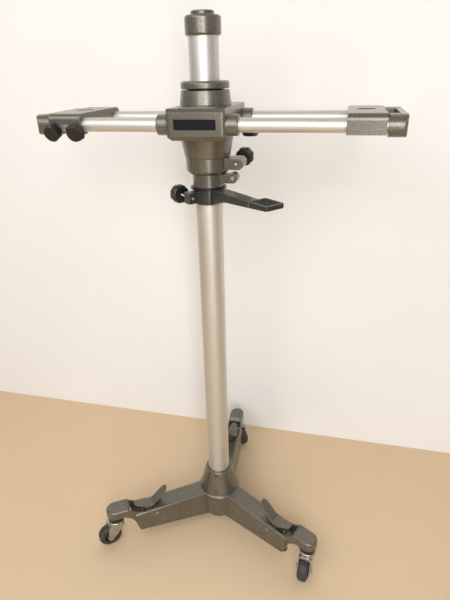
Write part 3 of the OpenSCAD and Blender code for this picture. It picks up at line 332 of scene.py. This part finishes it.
def painted_floor(name, colour):
    """Plain matt floor or wall: one pale colour with a barely seen unevenness."""
    made, tree, shader, coords = start(name)
    cloud = add(tree, "TexNoise", None, {"Vector": coords, "Scale": 1.2, "Detail": 3.0})
    tone = add(tree, "MapRange", None, {"Value": cloud.outputs[0], "To Min": 0.95, "To Max": 1.03})
    skin = add(tree, "Mix", {"data_type": "RGBA", "blend_type": "MULTIPLY"},
               {0: 1.0, 6: colour, 7: tone.outputs[0]})
    tree.links.new(skin.outputs[2], shader.inputs["Base Color"])
    shader.inputs["Roughness"].default_value = 0.7
    return made


def one_sided_wall(name, colour):
    """Painted wall that stands close behind the stand and is clear from its own back."""
    made = painted_floor(name, colour)
    tree = made.node_tree
    behind = add(tree, "NewGeometry").outputs["Backfacing"]
    clear = add(tree, "BsdfTransparent")
    paint = tree.nodes["Principled BSDF"]
    both = add(tree, "MixShader", None, {0: behind, 1: paint.outputs[0], 2: clear.outputs[0]})
    tree.links.new(both.outputs[0], tree.nodes["Material Output"].inputs["Surface"])
    return made


def room_light(name, colour, level, seen_level):
    """Even light of one colour from all round, which the camera and gloss see as a paler backdrop."""
    made = bpy.data.worlds.new(name)
    made.use_nodes = True
    tree = made.node_tree
    lit = tree.nodes["Background"]
    lit.inputs["Color"].default_value, lit.inputs["Strength"].default_value = colour, level
    seen = add(tree, "Background", None, {"Color": colour, "Strength": seen_level})
    path = add(tree, "LightPath").outputs
    mirrored = add(tree, "Math", {"operation": "MAXIMUM"},
                   {0: path["Is Glossy Ray"], 1: path["Is Transmission Ray"]})
    looked = add(tree, "Math", {"operation": "MAXIMUM"},
                 {0: path["Is Camera Ray"], 1: mirrored.outputs[0]})
    both = add(tree, "MixShader", None, {0: looked.outputs[0], 1: lit.outputs[0], 2: seen.outputs[0]})
    tree.links.new(both.outputs[0], tree.nodes["World Output"].inputs["Surface"])
    return made


# ---------------------------------------------------------------------------------------------
# Surfaces


def grid_piece(name, points, material, body):
    """Mesh of a (rows, columns, 3) array of points in metres, its columns closed into rings.

    Each quad joins point (i, j) with its neighbours (i + 1, j) and (i, j + 1); the end rings are
    filled.
    """
    rows, cols = points.shape[:2]
    i, j = np.meshgrid(np.arange(rows - 1), np.arange(cols), indexing="ij")
    k = (j + 1) % cols
    quads = np.stack([i * cols + j, i * cols + k, (i + 1) * cols + k, (i + 1) * cols + j], -1)
    faces = quads.reshape(-1, 4).tolist()
    faces.append(list(range(cols))[::-1])
    faces.append(list(range((rows - 1) * cols, rows * cols)))
    mesh = bpy.data.meshes.new(name)
    mesh.from_pydata(points.reshape(-1, 3).tolist(), [], faces)
    mesh.polygons.foreach_set("use_smooth", [True] * (len(faces) - 2) + [False, False])
    mesh.materials.append(material)
    mesh.update()
    piece = bpy.data.objects.new(name, mesh)
    bpy.context.scene.collection.objects.link(piece)
    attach(piece, body)
    return piece


def axes_about(direction):
    """A direction as a unit vector, and two more square to it and to each other."""
    d = np.asarray(direction, float) / np.linalg.norm(direction)
    a = np.cross(d, (0, 0, 1) if abs(d[2]) < 0.9 else (1, 0, 0))
    a /= np.linalg.norm(a)
    return d, a, np.cross(d, a)


def thread_points(start_at, end_at, radius, pitch, depth):
    """Screw thread: at turn angle t and length s the radius is R - D * |2 frac(s / P - t / 2 pi) - 1|.

    R is the outer radius, D the depth and P the pitch, so the crest winds once round for each pitch.
    Within a part of a pitch of each end the radius shrinks, to the share THREAD_END at the end itself.
    """
    start_at, end_at = np.asarray(start_at, float), np.asarray(end_at, float)
    length = np.linalg.norm(end_at - start_at)
    d, a, b = axes_about(end_at - start_at)
    s = np.linspace(0, length, int(length / pitch * THREAD_ROWS_PER_PITCH) + 2)[:, None]
    t = np.linspace(0, 2 * math.pi, THREAD_SIDES, endpoint=False)[None, :]
    wave = np.abs(2 * ((s / pitch - t / (2 * math.pi)) % 1) - 1)
    taper = np.minimum(1, np.minimum(s, length - s) / pitch + THREAD_END)
    r = (radius - depth * wave) * taper
    around = np.cos(t)[..., None] * a + np.sin(t)[..., None] * b
    return start_at + s[..., None] * d + r[..., None] * around


def spring_points(centre, low, high, coil_r, wire, coils):
    """Wound spring: a circle of radius w carried along the helix (R cos t, R sin t, z0 + h t / 2 pi).

    R is the coil's radius, w half the wire's thickness and h the even rise of each turn.
    """
    t = np.linspace(0, 2 * math.pi * coils, coils * COIL_STEPS + 1)
    share = t / t[-1]
    z = low + (high - low) * share
    spine = np.stack([centre[0] + coil_r * np.cos(t), centre[1] + coil_r * np.sin(t), z], -1)
    out = np.stack([np.cos(t), np.sin(t), np.zeros_like(t)], -1)
    ahead = np.gradient(spine, axis=0)
    ahead /= np.linalg.norm(ahead, axis=1)[:, None]
    up = np.cross(ahead, out)
    a = np.linspace(0, 2 * math.pi, WIRE_SIDES, endpoint=False)
    ring = np.cos(a)[None, :, None] * out[:, None] + np.sin(a)[None, :, None] * up[:, None]
    return spine[:, None] + wire / 2 * ring


FINISHES = {}
# The guide sleeve's dark steel also paints the shade in the gap under the top ring.
OWN_FINISH = {"column_tube": "column", "guide_sleeve": "dark_steel", "hub_set_screws": "dark_steel",
              "arm_plugs": "plug_paint"}


class STAND_OT_finishes(bpy.types.Operator):
    """Gives every solid of the stand its finish."""

    bl_idname = "stand.finishes"
    bl_label = "Finishes"

    def execute(self, context):
        look = context.scene.stand_finish
        fine, long = 1 / (0.5 * MM), 1 / (140 * MM)
        FINISHES.update({
            "hammer_paint": hammer_enamel("hammer-finish enamel", look.enamel, look.enamel_deep,
                                          look.bare, look.grain),
            # The plugs get less bare edge, so their painted edge highlight stays a thin line.
            "plug_paint": hammer_enamel("hammer-finish enamel, plugs", look.enamel, look.enamel_deep,
                                        look.bare, look.grain, rubbed=0.15),
            "dark_paint": hammer_enamel("dark hammer-finish enamel", look.dark_enamel,
                                        [c * 0.7 for c in look.dark_enamel[:3]] + [1],
                                        look.bare, look.grain),
            "column": anodised_tube("anodised aluminium, upright", look.anodised, (fine, fine, long)),
            "satin_tube": anodised_tube("anodised aluminium, cross tubes", look.anodised,
                                        (long, fine, fine)),
            "bright_steel": plated_steel("plated steel", look.plating),
            "black_plastic": moulded("moulded black plastic", look.plastic, 0.36, 0.6, 0.35),
            "black_plate": moulded("black anodised plate", look.plate, 0.5, 0.8, 0.2, 0.15),
            # Dark steel of the hub's set screws and of the guide sleeve, where its darkness also paints the gap's
            # shade.
            "dark_steel": plated_steel("oiled black steel", look.oiled_and_gap_shade),
            "black_rubber": moulded("black rubber", look.rubber, 0.75, 0.9, 0.35),
            "grey_tyre": moulded("grey tread rubber", look.tyre, 0.55, 0.9, 0.4),
        })
        for part in frame["record"]["subparts"]:
            node = NODES[part["node"]]
            finish = OWN_FINISH.get(part["node"], part["material_slot"])
            node.data.materials.clear()
            node.data.materials.append(FINISHES[finish])
        return {"FINISHED"}


class STAND_OT_threads(bpy.types.Operator):
    """Cuts the threads of the two long clamp screws."""

    bl_idname = "stand.threads"
    bl_label = "Clamp screw threads"

    def execute(self, context):
        sizes = context.scene.stand_hardware
        for node, body, joint in (("clamp_screw", "clamp_handle", "clamp_turn"),
                                  ("accessory_screw", "accessory_handle", "accessory_handle_turn")):
            at, axis = np.array(JOINTS[joint]["pos_m"]), np.array(JOINTS[joint]["axis"])
            mesh = NODES[node].data
            verts = np.empty(len(mesh.vertices) * 3)
            mesh.vertices.foreach_get("co", verts)
            reach = (verts.reshape(-1, 3) - at) @ axis
            points = thread_points(at + axis * reach.min(), at + axis * reach.max(), CLAMP_SCREW_R,
                                   sizes.thread_pitch, sizes.thread_depth)
            piece = grid_piece(node + "_thread", points, FINISHES["bright_steel"], body)
            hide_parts(node)
        return {"FINISHED"}


class STAND_OT_springs(bpy.types.Operator):
    """Winds the return springs of the three brakes."""

    bl_idname = "stand.springs"
    bl_label = "Return springs"

    def execute(self, context):
        sizes = context.scene.stand_hardware
        for side in SIDES:
            low, high = (np.array(v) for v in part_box("brake_spring_" + side))
            plunger = sum(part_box("brake_plunger_" + side), Vector()) / 2
            wire = sizes.wire
            coil_r = (high[0] - low[0] - wire) / 2
            points = spring_points(plunger, low[2] + wire / 2, high[2] - wire / 2, coil_r, wire,
                                   sizes.coils)
            piece = grid_piece("return_spring_" + side, points, FINISHES["bright_steel"], "stand")
            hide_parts("brake_spring_" + side)
            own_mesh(piece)
        return {"FINISHED"}


class STAND_OT_stage(bpy.types.Operator):
    """Sets the pale floor and wall, the soft light and the camera."""

    bl_idname = "stand.stage"
    bl_label = "Stage"

    def execute(self, context):
        stage = context.scene.stand_stage
        scene = context.scene
        scene.view_settings.view_transform = "Standard"
        wide, y, z = STAGE_HALF, WALL_Y, WALL_HIGH
        for name, corners, finish in (
            ("floor", [(-wide, -wide, 0), (wide, -wide, 0), (wide, wide, 0), (-wide, wide, 0)],
             painted_floor("matt paint, floor", stage.floor)),
            ("wall", [(-wide, y, 0), (wide, y, 0), (wide, y, z), (-wide, y, z)],
             one_sided_wall("matt paint, wall", stage.wall)),
        ):
            mesh = bpy.data.meshes.new(name)
            mesh.from_pydata(corners, [], [(0, 1, 2, 3)])
            mesh.materials.append(finish)
            piece = bpy.data.objects.new(name, mesh)
            scene.collection.objects.link(piece)
        scene.world = room_light("room light", linear("#FBFAF8"), ROOM_LEVEL, ROOM_SEEN_LEVEL)
        for name, place, target, wide_m, high_m, power in (
            ("key", (0.2, -3.0, 2.3), (0, 0, 0.85), 2.6, 2.0, stage.key),
            ("strip", (1.0, -2.8, 1.4), (0, 0, 0.9), 0.4, 2.6, stage.strip),
            ("fill", (-1.6, -2.0, 3.2), (-0.2, 0, 0.6), 2.0, 2.0, stage.fill),
            ("back", (0, 2.6, 2.8), (0, 1.8, 0), 4.0, 3.0, stage.back),
        ):
            lamp = bpy.data.lights.new(name, "AREA")
            lamp.shape, lamp.size, lamp.size_y, lamp.energy = "RECTANGLE", wide_m, high_m, power
            piece = bpy.data.objects.new(name, lamp)
            piece.visible_camera = False
            piece.location = place
            piece.rotation_euler = (Vector(target) - Vector(place)).to_track_quat("-Z", "Y").to_euler()
            scene.collection.objects.link(piece)
        yaw, pitch, roll = (math.radians(a) for a in CAMERA_TURNS)
        ahead = Vector((-math.sin(yaw) * math.cos(pitch), math.cos(yaw) * math.cos(pitch),
                        -math.sin(pitch)))
        right = Vector((math.cos(yaw), math.sin(yaw), 0))
        right = right * math.cos(roll) + ahead.cross(right) * math.sin(roll)
        up = right.cross(ahead)
        data = bpy.data.cameras.new("camera")
        data.sensor_width, data.lens = SENSOR_MM, FOCAL_PX * SENSOR_MM / FRAME_PX
        camera = bpy.data.objects.new("camera", data)
        turn = Matrix((right, up, -ahead)).transposed().to_4x4()
        camera.matrix_world = Matrix.Translation(CAMERA_AT) @ turn
        scene.collection.objects.link(camera)
        scene.camera = camera
        return {"FINISHED"}


class STAND_PT_panel(bpy.types.Panel):
    """Lists the stand's groups."""

    bl_idname = "STAND_PT_panel"
    bl_label = "Camera stand"
    bl_space_type = "VIEW_3D"
    bl_region_type = "UI"
    bl_category = "Camera stand"

    def draw(self, context):
        for group in ("stand_finish", "stand_hardware", "stand_stage"):
            settings = getattr(context.scene, group)
            for key in settings.__annotations__:
                self.layout.prop(settings, key)
        for operator in OPERATORS:
            self.layout.operator(operator.bl_idname)


OPERATORS = (STAND_OT_finishes, STAND_OT_threads, STAND_OT_springs, STAND_OT_stage)
GROUPS = {"stand_finish": StandFinish, "stand_hardware": StandHardware, "stand_stage": StandStage}


def register():
    for cls in (*GROUPS.values(), *OPERATORS, STAND_PT_panel):
        bpy.utils.register_class(cls)
    for key, group in GROUPS.items():
        setattr(bpy.types.Scene, key, bpy.props.PointerProperty(type=group))


def unregister():
    for key in GROUPS:
        delattr(bpy.types.Scene, key)
    for cls in (STAND_PT_panel, *OPERATORS, *GROUPS.values()):
        bpy.utils.unregister_class(cls)


def main():
    """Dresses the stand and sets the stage."""
    register()
    bpy.ops.stand.finishes()
    bpy.ops.stand.threads()
    bpy.ops.stand.springs()
    bpy.ops.stand.stage()


if __name__ == "__main__":
    main()
